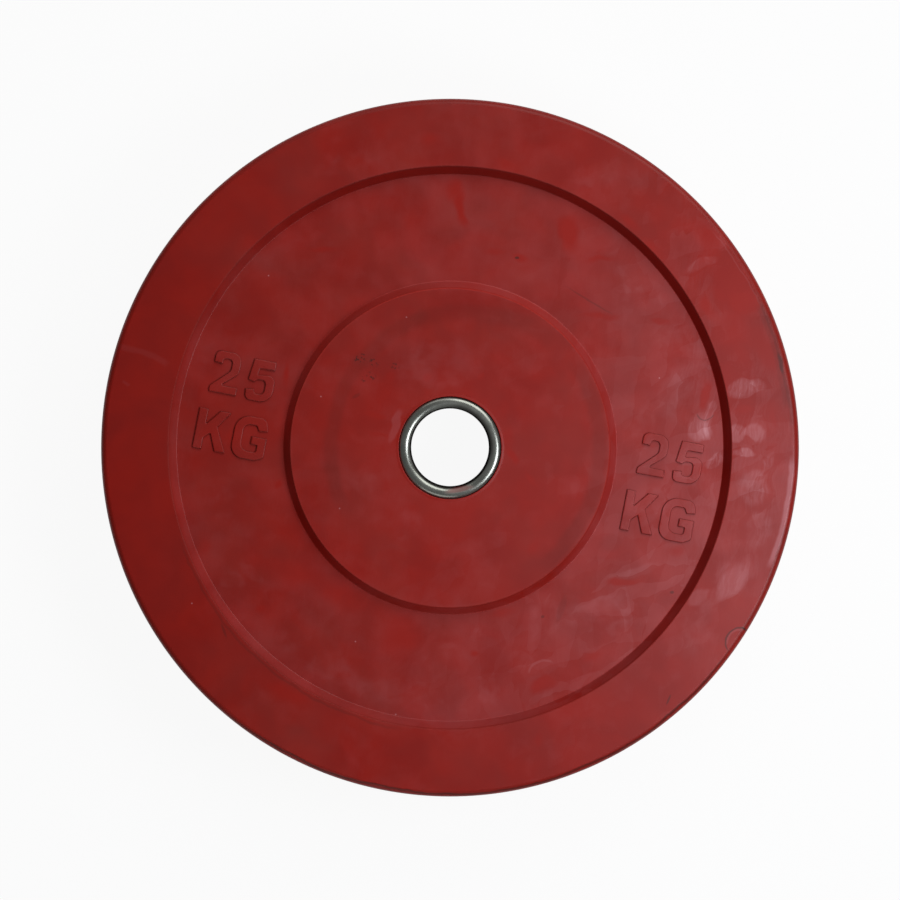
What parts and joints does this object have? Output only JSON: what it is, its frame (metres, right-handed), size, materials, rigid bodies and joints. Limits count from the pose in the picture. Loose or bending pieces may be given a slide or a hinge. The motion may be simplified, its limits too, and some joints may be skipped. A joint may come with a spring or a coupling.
{
  "type": "weight plate",
  "caption": "Round solid rubber weight plate with a raised rim, recessed web, raised hub and a steel-lined centre bore for a barbell sleeve.",
  "frame": {"origin": "centre of the lower rim face, on the bore axis, where the plate rests when it lies flat", "axes": "+Z along the bore axis, out of the upper face; +X and +Y lie in the plate's plane, +X to the right of the raised marks"},
  "size_m": [0.45, 0.45, 0.085],
  "materials": {
    "red_rubber": "matte moulded rubber, through-coloured red, hazed and scuffed by use",
    "turned_steel": "satin, worn bright on the lip",
    "anchor_steel": "plain mild steel, bonded into the rubber"
  },
  "bodies": {
    "root": {"rubber_body": "red_rubber", "bore_sleeve": "turned_steel", "anchor_disc_upper": "anchor_steel", "anchor_disc_lower": "anchor_steel"}
  },
  "joints": []
}
